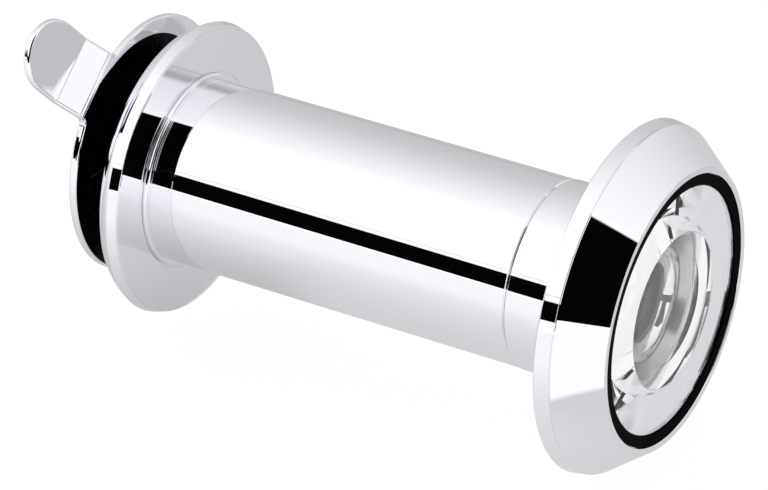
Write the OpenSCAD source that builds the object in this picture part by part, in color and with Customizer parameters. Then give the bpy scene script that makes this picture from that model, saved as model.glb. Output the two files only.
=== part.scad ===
// Door viewer with a swinging privacy cover.
// The barrel lies along X, with the bezel, which faces outdoors, on the +X side and +Z up.
// The origin is on the barrel's axis, in the plane of the bezel's back face.
// Profiles of turned pieces are lists of [radius, x].

/* [Barrel] */
// Outside diameter of the neck, which fits the hole in the door
barrel_d = 14; // [13.6:0.1:16]
// Radius by which the sleeve is slimmer than the neck
sleeve_step = 0.16; // [0.16:0.01:0.3]
// Wall of the sleeve
sleeve_wall = 0.77; // [0.6:0.01:1.1]
// Length of the neck behind the bezel
neck_len = 5.6; // [4.8:0.1:8]
// Edge break on each side of the seam between the neck and the sleeve
seam_break = 0.12; // [0.06:0.02:0.3]
// Gap left at the seam when the viewer is screwed fully home
seam_gap = 0.05; // [0.03:0.01:0.1]
// How far the inside half can be screwed out
travel = 20; // [12:1:30]
// Length of thread that stays engaged when it is screwed out
engagement = 5.4; // [4:0.2:8]
// Free space past the end of the threaded tube inside the sleeve
run_out = 0.95; // [0.5:0.05:2]
// Length of the closed end of the sleeve
web_len = 3.05; // [2.6:0.05:5]

/* [Thread] */
// Pitch, the travel of one turn
pitch = 1; // [0.75:0.05:1.5]
// Depth of the thread
thread_depth = 0.5; // [0.3:0.05:0.6]
// Plain relief beside the neck
thread_relief = 0.9; // [0.5:0.1:1.5]
// Radial clearance between the crests and the sleeve's bore
thread_gap = 0.07; // [0.02:0.01:0.1]
// Wall of the threaded tube below the thread
tube_wall = 0.6; // [0.45:0.05:0.8]

/* [Bezel] */
// Diameter of the bezel
bezel_d = 25.8; // [24:0.1:30]
// Height of the bezel from its back face to its lip
bezel_h = 4.3; // [4:0.1:6]
// Width of the band round the rim
rim_w = 1.25; // [0.8:0.05:1.8]
// Radius that the band loses towards the front
rim_taper = 0.18; // [0:0.02:0.4]
// Edge break at the back of the rim
rim_break = 0.12; // [0.05:0.01:0.3]
// Diameter of the lip's outer edge
lip_d = 20.8; // [20.6:0.1:22]
// Width of the lip
lip_w = 0.43; // [0.3:0.01:0.6]
// Depth of the recess behind the lip
recess_depth = 1.8; // [1.6:0.1:2.4]

/* [Front lens group] */
// Radial width of the black seal round the front lens
seal_w = 0.85; // [0.7:0.05:1.2]
// How far the seal's outer edge lies below the lip
seal_drop = 0.1; // [0.05:0.05:0.3]
// How far the seal falls towards the lens
seal_fall = 0.05; // [0.05:0.05:0.3]
// Height of the front lens's straight edge
lens_edge = 1.05; // [0.9:0.05:1.15]
// Rise of the front lens's dome above its edge
dome_rise = 0.95; // [0.7:0.05:1.2]
// Depth of the bowl in the back of the front lens
bowl_depth = 1; // [0.8:0.05:1.4]
// Thickness of the polished ring that the front lens rests on
seat_t = 0.5; // [0.4:0.05:0.7]
// How far the ring dips between its edges
seat_dish = 0.22; // [0.1:0.02:0.3]
// Width of the bead round the ring's opening
bead_w = 0.22; // [0.15:0.01:0.35]
// Wall of the neck round the stepped cup behind the ring
neck_wall = 0.8; // [0.6:0.05:1.2]
// Wall of the cup at its mouth
cup_wall = 0.65; // [0.4:0.05:0.75]
// Depth of the cup below the recess floor
cup_len = 3.8; // [3.4:0.1:4.4]
// Length of the cup's tapered mouth
cup_mouth = 1.3; // [1:0.1:1.6]
// Wall of the cup round the second lens
pocket_wall = 1.62; // [1.3:0.02:2]
// Thickness of the second lens at its edge
second_t = 1.9; // [1.6:0.05:2]
// Depth of the hollow in its front
second_sag = 0.85; // [0.5:0.05:1]
// Width of the flat rim round that hollow
second_rim = 0.65; // [0.3:0.05:1]
// Width of the ledge under the second lens
cup_ledge = 0.9; // [0.5:0.05:1.3]

/* [Lens tube] */
// Length of the spacer in front of the third lens
spacer_len = 6.8; // [5:0.1:9]
// Wall of the spacer and the lens tube
spacer_wall = 0.55; // [0.4:0.05:0.8]
// Thickness of the third lens at its edge
third_t = 2.2; // [1.6:0.1:3]
// Depth of the hollow in each face of the third lens
third_sag = 0.7; // [0.4:0.05:0.9]
// Length of the ring that locks the lenses in
lock_len = 1.5; // [1:0.1:2]
// Radial width of that ring
lock_w = 1.26; // [0.9:0.02:1.8]
// Distance from that ring to the tube's end
lock_inset = 0.6; // [0.2:0.1:1.5]
// Width of the key slot across its back
lock_slot = 1; // [0.6:0.1:1.4]

/* [Rosette] */
// How far the rosette reaches past the neck's radius
rosette_reach = 4; // [3.4:0.1:6]
// How much smaller the radius of its front edge is, against the door
rosette_draft = 0.2; // [0.1:0.02:0.4]
// Width of the rosette's rim
rosette_rim = 0.7; // [0.4:0.05:1]
// Thickness of the rosette
rosette_t = 2.7; // [2.5:0.05:3.4]
// Radius that its rounded back takes off before it meets the flat
rosette_shoulder = 1.95; // [1.6:0.05:2]
// Radius of its rounded back
rosette_round = 4; // [3.4:0.1:8]
// Width of the sleeve's shoulder in front of it
shoulder_w = 1.64; // [1.4:0.01:1.9]
// How far the washer between them reaches past the sleeve's radius
washer_lip = 0.51; // [0.3:0.01:0.8]
// Thickness of that washer
washer_t = 0.45; // [0.4:0.05:0.6]
// Depth of the washer's seat in the rosette
washer_sink = 0.1; // [0.05:0.05:0.2]

/* [Eyepiece] */
// How far the eyepiece's flange reaches past the sleeve's end
flange_lip = 1; // [0.7:0.05:1.3]
// Thickness of the flange
flange_t = 0.7; // [0.5:0.05:0.8]
// How far the flange lies below the rosette's back
flange_sink = 0.15; // [0.1:0.05:0.3]
// Wall of the sleeve's end round the eyepiece's barrel
stub_wall = 0.86; // [0.6:0.02:1.1]
// Length of the eyepiece's barrel
eye_len = 3.4; // [3:0.1:4]
// Wall of the eyepiece's barrel
eye_wall = 0.5; // [0.4:0.05:0.6]
// Width of the ledge under the eyepiece lens, round the sight hole
sight_ledge = 0.5; // [0.35:0.05:0.8]
// Thickness of the eyepiece's back wall in front of the flange's back face
eye_back = 1; // [0.8:0.05:1.2]
// Thickness of the eyepiece lens at its edge
eye_lens_t = 1.1; // [0.8:0.1:1.3]
// Rise of the eyepiece lens's dome
eye_lens_rise = 0.9; // [0.6:0.1:1]
// Width of the coin slot across the flange
coin_slot_w = 1.3; // [1:0.1:1.6]
// Depth of the coin slot
coin_slot_depth = 0.4; // [0.25:0.05:0.45]
// Width of the wall between the sight hole and the coin slot
coin_slot_wall = 0.6; // [0.5:0.05:1]
// Thickness of the spring ring that keeps the eyepiece lens in
snap_t = 0.4; // [0.3:0.05:0.5]
// Gap in the spring ring
snap_gap = 1.2; // [0.8:0.1:2]

/* [Cover] */
// How much smaller the cover's radius is than the rosette's
cover_inset = 1.35; // [0.8:0.05:1.8]
// Thickness of the cover's sheet
cover_t = 0.6; // [0.5:0.05:0.8]
// Space between the rosette's back and the cover
cover_gap = 1.22; // [1.1:0.02:1.6]
// Wall between the pivot's boss and the eyepiece's flange
boss_margin = 0.03; // [0.02:0.01:0.1]
// Direction of the pivot, from +Y towards +Z
pivot_angle = 24; // [0:1:60]
// How far the cover is swung from closed in the modelled pose
swing_shown = 11; // [0:1:30]
// Direction of the tab, from +Z towards -Y
tab_angle = 40; // [30:1:60]
// Width of the tab
tab_w = 5.35; // [4:0.05:6.5]
// Distance from the disc's edge to the first bend's corner
tab_step = 0.5; // [0.4:0.05:1.5]
// Distance between the two bends' corners
tab_rise = 2.24; // [2:0.02:3.5]
// Distance from the second bend's corner to the tip
tab_reach = 4.76; // [4:0.02:7]
// Angle of the first bend, away from the door
first_bend = 35; // [20:1:45]
// Angle of the second bend, back towards the disc's plane
second_bend = 21.6; // [5:0.1:30]
// Inside radius of both bends
bend_r = 0.45; // [0.3:0.05:0.6]
// Radius in the corners beside the tab
corner_r = 0.5; // [0.3:0.05:0.6]

/* [Pivot] */
// Diameter of the rivet's shank
rivet_d = 1.5; // [1.2:0.05:1.7]
// How far the rivet's head reaches past its shank
head_lip = 0.85; // [0.6:0.05:1.2]
// Height of the rivet's head
head_h = 0.6; // [0.5:0.05:0.9]
// Depth of the rivet in the rosette
rivet_depth = 1.3; // [0.9:0.05:1.5]
// Wall of the raised boss under the washers
boss_wall = 0.45; // [0.3:0.05:0.5]
// Height of that boss
boss_h = 0.65; // [0.5:0.05:0.7]
// Radial width of the spring washer
spring_w = 1.2; // [0.9:0.1:1.5]
// Thickness of the spring washer
spring_t = 0.15; // [0.1:0.01:0.2]
// Thickness of the two flat washers
flat_t = 0.2; // [0.12:0.02:0.25]
// Radial width of the two flat washers
flat_w = 1.1; // [0.9:0.1:1.4]

/* [Clearances] */
// Radial clearance of parts that turn in each other
turn_gap = 0.05; // [0.02:0.01:0.1]
// Radial clearance of parts that rest in each other
rest_gap = 0.04; // [0.02:0.01:0.08]
// Clearance between faces of parts that move past each other
face_gap = 0.02; // [0.01:0.01:0.05]

/* [Hidden] */
$fn = 120;
chrome = [0.8, 0.8, 0.82];
nickel = [0.7, 0.7, 0.7];
black = [0.06, 0.06, 0.07];
glass = [0.75, 0.85, 0.82];
arc_steps = 12;
cut_past = 1;

barrel_r = barrel_d / 2;
sleeve_r = barrel_r - sleeve_step;
tube_len = travel + engagement;
tube_end = -neck_len - tube_len;
sleeve_front = -neck_len - seam_gap;
bore_end = tube_end - run_out;
sleeve_back = bore_end - web_len;
rosette_front = sleeve_back - washer_t + washer_sink;
rosette_back = rosette_front - rosette_t;
flange_back = rosette_back + flange_sink;
flange_front = flange_back + flange_t;
cover_front = rosette_back - cover_gap;
cover_back = cover_front - cover_t;

thread_r = sleeve_r - sleeve_wall - thread_gap;
root_r = thread_r - thread_depth;
thread_turns = floor((tube_len - thread_relief) / pitch);
flank = pitch / 4;

rim_r = bezel_d / 2;
lip_r = lip_d / 2;
recess_r = lip_r - lip_w;
floor_x = bezel_h - recess_depth;
seat_top = floor_x + seat_t;
seal_in = recess_r - rest_gap - seal_w;
lens_r = seal_in - rest_gap;
cup_r = barrel_r - neck_wall;
bowl_r = cup_r - cup_wall;
cup_back = floor_x - cup_len;
mouth_r = bowl_r - 2 * rest_gap;
second_r = cup_r - pocket_wall - 2 * rest_gap;
pocket_front = floor_x - cup_mouth;
pocket_back = pocket_front - second_t - 2 * rest_gap;
bore_r = root_r - tube_wall;
tube_fit_r = bore_r - rest_gap;
spacer_back = cup_back - rest_gap - spacer_len;
third_back = spacer_back - rest_gap - third_t;
lock_back = tube_end + lock_inset;
lock_front = lock_back + lock_len;

stub_r = sleeve_r - shoulder_w;
washer_r = sleeve_r + washer_lip;
rosette_r = barrel_r + rosette_reach;
flange_r = stub_r + flange_lip;
eye_r = stub_r - stub_wall - rest_gap;
pocket_r = eye_r - eye_wall;
sight_r = pocket_r - sight_ledge;
eye_floor = flange_back + eye_back;
eye_lens_r = pocket_r - rest_gap;
eye_lens_front = eye_floor + eye_lens_t + eye_lens_rise;
snap_back = eye_floor + eye_lens_t + face_gap;

rivet_r = rivet_d / 2;
boss_r = rivet_r + boss_wall;
well_r = flange_r + 2 * turn_gap;
pivot_r = well_r + boss_margin + boss_r;
pivot_y = pivot_r * cos(pivot_angle);
pivot_z = pivot_r * sin(pivot_angle);
cover_y = pivot_y - pivot_r * cos(pivot_angle - swing_shown);
cover_z = pivot_z - pivot_r * sin(pivot_angle - swing_shown);
cover_r = rosette_r - cover_inset;
tab_root = cover_r + tab_step;
sheet_w = 2 * cover_r;
boss_top = rosette_back - boss_h;
spring_rise = cover_gap - boss_h - spring_t - flat_t - 3 * face_gap;
outer_bend_r = bend_r + cover_t;
root_flat = tab_root - outer_bend_r * tan(first_bend / 2);
rise_flat = tab_rise - outer_bend_r * tan(first_bend / 2) - bend_r * tan(second_bend / 2);
reach_flat = tab_reach - bend_r * tan(second_bend / 2) - tab_w / 2;

// Radius of the sphere whose cap of this rise has this edge radius
function cap_r(edge, rise) = (edge * edge + rise * rise) / (2 * rise);

// Points of an arc about a centre
function arc(centre, r, from, to) =
    [for (i = [0:arc_steps]) let (angle = from + (to - from) * i / arc_steps)
        centre + r * [cos(angle), sin(angle)]];

// Points of an arc that bulges away from the axis, between two [radius, x] points
function bulge(p, q, r) =
    let (chord = norm(q - p),
         side = [q[1] - p[1], p[0] - q[0]] / chord,
         centre = (p + q) / 2 + side * sqrt(r * r - chord * chord / 4),
         start = atan2(p[1] - centre[1], p[0] - centre[0]))
    arc(centre, r, start, start - 2 * asin(chord / 2 / r));

// Turns a profile of [radius, x] points about the barrel's axis
module turned(profile) {
    rotate([0, 90, 0]) rotate_extrude() polygon(profile);
}

// Ring between two radii, from x = back to x = front
module ring(inner, outer, back, front) {
    turned([[inner, back], [outer, back], [outer, front], [inner, front]]);
}

// Ball on the barrel's axis
module ball(x, r) {
    translate([x, 0, 0]) rotate([0, 90, 0]) sphere(r);
}

// Round disc from x = back to x = front
module disc(r, back, front) {
    translate([back, 0, 0]) rotate([0, 90, 0]) cylinder(r = r, h = front - back);
}

// Moves a piece from the barrel's axis to the cover's pivot
module at_pivot() {
    translate([0, pivot_y, pivot_z]) children();
}

// Bezel, neck and threaded tube, turned from one bar
module bezel() {
    thread_start = -neck_len - thread_relief;
    crests = [for (i = [thread_turns - 1:-1:0])
        for (p = [[root_r, 3], [thread_r, 2], [thread_r, 1], [root_r, 0]])
            [p[0], thread_start - i * pitch - p[1] * flank]];
    outside = [[barrel_r, 0], [rim_r - rim_break, 0], [rim_r, rim_break],
        [rim_r - rim_taper, rim_w], [lip_r, bezel_h], [recess_r, bezel_h]];
    inside = [[recess_r, floor_x], [cup_r, floor_x], [cup_r, cup_back],
        [bore_r, cup_back], [bore_r, tube_end], [root_r, tube_end]];
    neck = [[root_r, -neck_len], [barrel_r - seam_break, -neck_len],
        [barrel_r, -neck_len + seam_break]];
    color(chrome) turned(concat(outside, inside, crests, neck));
}

// Black seal between the front lens and the bezel's lip
module objective_seal() {
    top = bezel_h - seal_drop;
    outer = recess_r - rest_gap;
    color(black) turned([[seal_in, seat_top], [outer, seat_top], [outer, top],
        [seal_in, top - seal_fall]]);
}

// Front lens: domed in front, flat behind, with a deep bowl in the flat
module objective_lens() {
    apex = seat_top + lens_edge + dome_rise;
    dome = cap_r(lens_r, dome_rise);
    bowl = cap_r(bowl_r, bowl_depth);
    color(glass) difference() {
        intersection() {
            disc(lens_r, seat_top, apex);
            ball(apex - dome, dome);
        }
        ball(seat_top + bowl_depth - bowl, bowl);
    }
}

// Polished dished ring under the front lens, with a bead round its opening
module seat_ring() {
    color(chrome) turned([[bowl_r, floor_x], [recess_r - rest_gap, floor_x],
        [recess_r - rest_gap, seat_top], [lens_r, seat_top],
        [bowl_r + 2 * bead_w, seat_top - seat_dish],
        [bowl_r + bead_w, seat_top - face_gap], [bowl_r, seat_top - face_gap]]);
}

// Stepped cup that carries the second lens
module objective_cup() {
    color(nickel) turned([[mouth_r, floor_x - face_gap], [cup_r - rest_gap, floor_x - face_gap],
        [cup_r - rest_gap, cup_back], [second_r - cup_ledge, cup_back],
        [second_r - cup_ledge, pocket_back], [second_r + rest_gap, pocket_back],
        [second_r + rest_gap, pocket_front]]);
}

// Second lens: hollow in front, flat behind
module second_lens() {
    front = pocket_back + rest_gap + second_t;
    hollow = cap_r(second_r - second_rim, second_sag);
    color(glass) difference() {
        disc(second_r, pocket_back + rest_gap, front);
        ball(front - second_sag + hollow, hollow);
    }
}

// Ring between the second and the third lens
module front_spacer() {
    color(black) ring(tube_fit_r - spacer_wall, tube_fit_r, spacer_back, cup_back - rest_gap);
}

// Third lens: hollow on both sides
module third_lens() {
    front = spacer_back - rest_gap;
    hollow = cap_r(tube_fit_r - spacer_wall, third_sag);
    color(glass) difference() {
        disc(tube_fit_r, third_back, front);
        ball(front - third_sag + hollow, hollow);
        ball(third_back + third_sag - hollow, hollow);
    }
}

// Black tube that presses the lenses forward
module lens_tube() {
    color(black) ring(tube_fit_r - spacer_wall, tube_fit_r, lock_front + rest_gap,
        third_back - rest_gap);
}

// Ring screwed in behind the lens tube, with two key slots
module lens_lock_ring() {
    color(nickel) difference() {
        ring(tube_fit_r - lock_w, tube_fit_r, lock_back, lock_front);
        translate([lock_back, 0, 0]) cube([lock_slot, 2 * bore_r, lock_slot], center = true);
    }
}

// Thin washer that keeps the sleeve's shoulder off the rosette
module thrust_washer() {
    round_r = washer_t / 2;
    edge = arc([washer_r - round_r, sleeve_back - round_r], round_r, 90, -90);
    inner = stub_r + turn_gap;
    color(chrome) turned(concat([[inner, sleeve_back - washer_t], [inner, sleeve_back]], edge));
}

// Sleeve: threaded bore in front, closed end and a stub that passes through the rosette
module sleeve() {
    bore = sleeve_r - sleeve_wall;
    color(chrome) turned([[bore, sleeve_front], [sleeve_r - seam_break, sleeve_front],
        [sleeve_r, sleeve_front - seam_break], [sleeve_r, sleeve_back], [stub_r, sleeve_back],
        [stub_r, flange_front], [eye_r + rest_gap, flange_front], [eye_r + rest_gap, bore_end],
        [bore, bore_end]]);
}

// Eyepiece: flange behind the rosette, barrel in the sleeve's end, and a coin slot
module eyepiece_cup() {
    slot_start = sight_r + coin_slot_wall;
    color(black) difference() {
        turned([[sight_r, eye_floor], [pocket_r, eye_floor], [pocket_r, flange_front + eye_len],
            [eye_r, flange_front + eye_len], [eye_r, flange_front], [flange_r, flange_front],
            [flange_r, flange_back], [sight_r + eye_back / 2, flange_back],
            [sight_r, flange_back + eye_back / 2]]);
        for (side = [0, 180])
            rotate([side, 0, 0]) translate([flange_back - cut_past, slot_start, -coin_slot_w / 2])
                cube([cut_past + coin_slot_depth, flange_r, coin_slot_w]);
    }
}

// Eyepiece lens: flat towards the eye, domed inwards
module eyepiece_lens() {
    dome = cap_r(eye_lens_r - snap_t, eye_lens_rise);
    color(glass) union() {
        disc(eye_lens_r, eye_floor, eye_floor + eye_lens_t);
        intersection() {
            disc(eye_lens_r - snap_t, eye_floor, eye_lens_front);
            ball(eye_lens_front - dome, dome);
        }
    }
}

// Split spring ring that keeps the eyepiece lens in its cup
module snap_ring() {
    inner = eye_lens_r - snap_t + face_gap;
    color(nickel) difference() {
        ring(inner, pocket_r, snap_back, snap_back + snap_t);
        translate([snap_back + snap_t / 2, 0, -pocket_r]) cube([snap_t * 2, snap_gap, 2 * inner],
            center = true);
    }
}

// Rosette against the door's inside face, rounded behind, with a boss for the cover
module rosette() {
    bore = stub_r + turn_gap;
    seat_r = washer_r + 2 * turn_gap;
    well_floor = flange_front + turn_gap;
    rim_point = [rosette_r, rosette_front - rosette_rim];
    back_point = [rosette_r - rosette_shoulder, rosette_back];
    color(chrome) difference() {
        union() {
            turned(concat([[bore, rosette_front - washer_sink], [seat_r, rosette_front - washer_sink],
                [seat_r, rosette_front], [rosette_r - rosette_draft, rosette_front]],
                bulge(rim_point, back_point, rosette_round),
                [[well_r, rosette_back], [well_r, well_floor], [bore, well_floor]]));
            at_pivot() disc(boss_r, boss_top, rosette_back + boss_h);
        }
        at_pivot() disc(rivet_r, boss_top - cut_past, rosette_back + rivet_depth);
    }
}

// Rivet that the cover turns on
module pivot_rivet() {
    under = cover_back - flat_t - 2 * face_gap;
    head_r = rivet_r + head_lip;
    dome = cap_r(head_r, head_h);
    color(chrome) at_pivot() union() {
        disc(rivet_r, under, rosette_back + rivet_depth);
        intersection() {
            disc(head_r, under - head_h, under);
            ball(under - head_h + dome, dome);
        }
    }
}

// Coned spring washer that presses the cover against the rivet's head
module spring_washer() {
    inner = rivet_r + turn_gap;
    top = boss_top - face_gap;
    outer = inner + spring_w;
    color(nickel) at_pivot() turned([[inner, top], [outer, top - spring_rise],
        [outer, top - spring_rise - spring_t], [inner, top - spring_t]]);
}

// Flat washer between the spring washer and the cover
module flat_washer() {
    inner = rivet_r + turn_gap;
    back = cover_front + face_gap;
    color(nickel) at_pivot() ring(inner, inner + flat_w, back, back + flat_t);
}

// Flat washer under the rivet's head
module rivet_washer() {
    inner = rivet_r + turn_gap;
    front = cover_back - face_gap;
    color(nickel) at_pivot() ring(inner, inner + flat_w, front - flat_t, front);
}

// Fillet between the cover's disc and one edge of the tab, in the sheet's plane
module cover_corner() {
    half = tab_w / 2;
    fx = sqrt(pow(cover_r + corner_r, 2) - pow(half + corner_r, 2));
    touch = cover_r / (cover_r + corner_r);
    difference() {
        polygon([[fx, half - corner_r], [fx, half + corner_r],
            [fx * touch, (half + corner_r) * touch], [fx - 2 * corner_r, half - corner_r]]);
        translate([fx, half + corner_r]) circle(corner_r);
    }
}

// Side view of the bent sheet, with the disc's front face at z = 0
module sheet_profile() {
    tilt = [cos(first_bend), -sin(first_bend)];
    normal = [sin(first_bend), cos(first_bend)];
    slope = first_bend - second_bend;
    centre1 = [root_flat, -outer_bend_r];
    centre2 = centre1 + (outer_bend_r + bend_r) * normal + rise_flat * tilt;
    tip = centre2 + tab_reach * [cos(slope), -sin(slope)];
    inward = [sin(slope), cos(slope)];
    back = concat([[-sheet_w, -cover_t]], arc(centre1, bend_r, 90, 90 - first_bend),
        arc(centre2, outer_bend_r, 270 - first_bend, 270 - slope), [tip - outer_bend_r * inward]);
    front = concat([tip - bend_r * inward], arc(centre2, bend_r, 270 - slope, 270 - first_bend),
        arc(centre1, outer_bend_r, 90 - first_bend, 90), [[-sheet_w, 0]]);
    rotate([90, 0, 0]) linear_extrude(2 * sheet_w, center = true) polygon(concat(back, front));
}

// Outline of the sheet seen square to the disc: the disc, the corners and the tab's edges
module sheet_outline() {
    circle(cover_r);
    translate([0, -tab_w / 2]) square([tab_root + tab_rise + tab_reach, tab_w]);
    cover_corner();
    mirror([0, 1]) cover_corner();
}

// Half-round end of the tab, and all that lies behind it, seen square to the tab's last stretch
module tip_outline() {
    translate([reach_flat, 0]) circle(tab_w / 2);
    translate([reach_flat - 2 * sheet_w, -sheet_w]) square(2 * sheet_w);
}

// Cover in its own sheet frame: disc centred at the origin, tab along +x, front face at z = 0
module cover_sheet() {
    intersection() {
        sheet_profile();
        linear_extrude(sheet_w, center = true) sheet_outline();
        translate([root_flat, 0, -outer_bend_r]) rotate([0, first_bend, 0])
            translate([rise_flat, 0, outer_bend_r + bend_r]) rotate([0, -second_bend, 0])
                linear_extrude(2 * sheet_w, center = true) tip_outline();
    }
}

// Cover disc with its bent thumb tab
module cover() {
    color(chrome) difference() {
        translate([cover_front, cover_y, cover_z]) rotate([0, 90, 0])
            rotate([0, 0, 180 + tab_angle]) cover_sheet();
        at_pivot() disc(rivet_r + turn_gap, cover_back - cut_past, cover_front + cut_past);
    }
}

bezel();
objective_seal();
objective_lens();
seat_ring();
objective_cup();
second_lens();
front_spacer();
third_lens();
lens_tube();
lens_lock_ring();
thrust_washer();
sleeve();
eyepiece_cup();
eyepiece_lens();
snap_ring();
rosette();
pivot_rivet();
spring_washer();
flat_washer();
rivet_washer();
cover();
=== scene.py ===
"""Door viewer with a swinging privacy cover: bezel, barrel, lenses, rosette and cover."""

from math import atan2, cos, degrees, hypot, pi, radians, sin, sqrt, tan

import bpy
from bpy.props import FloatProperty, FloatVectorProperty, IntProperty, PointerProperty
from mathutils import Matrix, Vector
from mathutils.geometry import tessellate_polygon


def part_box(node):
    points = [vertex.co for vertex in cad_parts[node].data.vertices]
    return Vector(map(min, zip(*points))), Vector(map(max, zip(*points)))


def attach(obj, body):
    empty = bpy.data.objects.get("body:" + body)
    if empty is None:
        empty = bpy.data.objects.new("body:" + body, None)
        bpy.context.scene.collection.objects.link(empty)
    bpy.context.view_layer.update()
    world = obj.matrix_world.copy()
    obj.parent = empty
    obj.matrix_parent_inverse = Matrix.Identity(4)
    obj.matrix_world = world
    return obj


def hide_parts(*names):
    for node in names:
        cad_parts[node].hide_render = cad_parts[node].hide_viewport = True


bl_info = {
    "name": "Door viewer",
    "version": (1, 0, 0),
    "blender": (4, 5, 0),
    "location": "View3D > Sidebar > Door viewer",
    "description": "Builds a chrome door viewer with a swinging privacy cover",
    "category": "Add Mesh",
}

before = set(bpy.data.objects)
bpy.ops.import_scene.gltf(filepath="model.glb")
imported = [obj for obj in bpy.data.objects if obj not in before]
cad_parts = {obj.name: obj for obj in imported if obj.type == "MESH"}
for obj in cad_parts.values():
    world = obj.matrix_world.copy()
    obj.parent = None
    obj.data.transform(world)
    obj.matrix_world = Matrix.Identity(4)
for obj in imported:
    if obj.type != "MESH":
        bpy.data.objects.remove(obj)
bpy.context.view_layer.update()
MM = 0.001
# Mesh steps of a rounded corner and of a lens surface
ARC_STEPS = 6
LENS_STEPS = 28
# Largest share of a profile's side that one rounding takes
SIDE_SHARE = 0.45
# Lengths below this count as none, in millimetres
NOTHING = 1e-6
# Depth of the finest surface waves
WAVE_DEPTH = 0.02 * MM


# Settings


def length_setting(name, description, default):
    return FloatProperty(name=name, description=description, default=default, unit="LENGTH", precision=6)


def colour_setting(name, description, *default):
    colour = (*default, 1)
    return FloatVectorProperty(name=name, description=description, subtype="COLOR", size=4, default=colour)


class ViewerShape(bpy.types.PropertyGroup):
    """Roundings and mesh density of the pieces"""

    edge: length_setting("Edge rounding", "Radius on the outer edges of turned pieces", 0.08 * MM)
    fine_edge: length_setting("Fine rounding", "Radius on thin lips and inner edges", 0.04 * MM)
    sheet_edge: length_setting("Sheet rounding", "Radius on the cover's edges", 0.2 * MM)
    steps: IntProperty(name="Steps", description="Mesh steps round each turned piece", default=240, min=48)


class ViewerFinish(bpy.types.PropertyGroup):
    """Colours and polish"""

    chrome: colour_setting("Chrome", "Colour of the chrome plate", 0.915, 0.9, 0.94)
    chrome_roughness: FloatProperty(name="Chrome roughness", description="Lowest roughness of the chrome",
                                    default=0.012, subtype="FACTOR")
    nickel: colour_setting("Nickel", "Colour of the inner turned pieces", 0.62, 0.61, 0.6)
    steel: colour_setting("Spring steel", "Colour of the spring pieces", 0.5, 0.5, 0.51)
    black: colour_setting("Black", "Colour of the seal and the eyepiece", 0.002, 0.002, 0.0025)
    anodised: colour_setting("Anodised", "Colour of the lens tube and spacer", 0.1, 0.1, 0.095)
    glass: colour_setting("Glass", "Tint of the inner lenses", 0.955, 0.985, 0.97)
    front_glass: colour_setting("Front glass", "Tint of the front lens", 0.985, 0.98, 0.99)


class StageSettings(bpy.types.PropertyGroup):
    """Floor, background and light"""

    floor_level: length_setting("Floor gap", "Distance from the bezel's rim down to the floor", 0.1 * MM)
    ceiling: FloatProperty(name="Ceiling", description="Brightness of the light overhead", default=1.06)
    room: FloatProperty(name="Far side", description="Loss of light behind the object", default=0.38)


def shape():
    return bpy.context.scene.viewer_shape


def finish():
    return bpy.context.scene.viewer_finish


# Turned pieces: a profile is a closed loop of (radius, x, rounding), in millimetres


def offset_from(node):
    """Lowest and highest x of a CAD node, in millimetres."""
    low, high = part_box(node)
    return low.x / MM, high.x / MM


def straight(p, q):
    """A straight run of a profile with its outward normal. The solid lies to the left of the travel."""
    dr, dx = q[0] - p[0], q[1] - p[1]
    span = hypot(dr, dx)
    normal = (dx / span, -dr / span)
    return [(p[0], p[1], *normal), (q[0], q[1], *normal)]


def straights(*points):
    """Straight runs from each point to the next."""
    return [straight(p, q) for p, q in zip(points[:-1], points[1:])]


def round_corner(before, corner, after, radius):
    """The arc that rounds a corner, as a run of (r, x, nr, nx)."""
    a = Vector((before[0] - corner[0], before[1] - corner[1])).normalized()
    b = Vector((after[0] - corner[0], after[1] - corner[1])).normalized()
    half = a.angle(b) / 2
    corner, before, after = Vector(corner[:2]), Vector(before[:2]), Vector(after[:2])
    side = min((before - corner).length, (after - corner).length)
    reach = min(radius / tan(half), SIDE_SHARE * side)
    radius = reach * tan(half)
    centre = corner + (a + b).normalized() * radius / sin(half)
    start = corner + a * reach
    end = corner + b * reach
    u, v = (start - centre) / radius, (end - centre) / radius
    convex = 1 if a.x * b.y - a.y * b.x < 0 else -1
    sweep = u.angle(v)
    turn = 1 if u.x * v.y - u.y * v.x > 0 else -1
    run = []
    for i in range(ARC_STEPS + 1):
        t = turn * sweep * i / ARC_STEPS
        n = Vector((u.x * cos(t) - u.y * sin(t), u.x * sin(t) + u.y * cos(t)))
        p = centre + radius * n
        run.append((p.x, p.y, convex * n.x, convex * n.y))
    return run


def outline(points):
    """Runs of a closed polygon of (r, x, rounding), given counter-clockwise with r to the right and x up."""
    arcs = []
    n = len(points)
    for i, corner in enumerate(points):
        before, after = points[i - 1], points[(i + 1) % n]
        rounded = len(corner) > 2 and corner[2] > 0
        arcs.append(round_corner(before, corner, after, corner[2]) if rounded else None)
    runs = []
    for i in range(n):
        j = (i + 1) % n
        start = arcs[i][-1] if arcs[i] else points[i]
        end = arcs[j][0] if arcs[j] else points[j]
        runs.append(straight(start, end))
        if arcs[j]:
            runs.append(arcs[j])
    return runs


def sphere_r(edge, rise):
    """Radius of the sphere whose cap of this rise has this edge radius."""
    return (edge ** 2 + rise ** 2) / (2 * rise)


def ring_profile(bore, outer, low, high, inner_round, outer_round):
    return outline([(bore, low, inner_round), (outer, low, outer_round), (outer, high, outer_round),
                    (bore, high, inner_round)])


def bowl(centre_x, radius, r0, r1, side):
    """A run along a sphere centred on the axis, from radius r0 to r1. side is 1 for the half towards +x.
    The normals point away from the sphere's centre."""
    run = []
    for i in range(LENS_STEPS + 1):
        r = r0 + (r1 - r0) * i / LENS_STEPS
        h = sqrt(max(radius * radius - r * r, 0))
        run.append((r, centre_x + side * h, r / radius, side * h / radius))
    return run


def flipped(run):
    """The same run with its normal turned round."""
    return [(r, x, -nr, -nx) for r, x, nr, nx in run]


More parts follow.
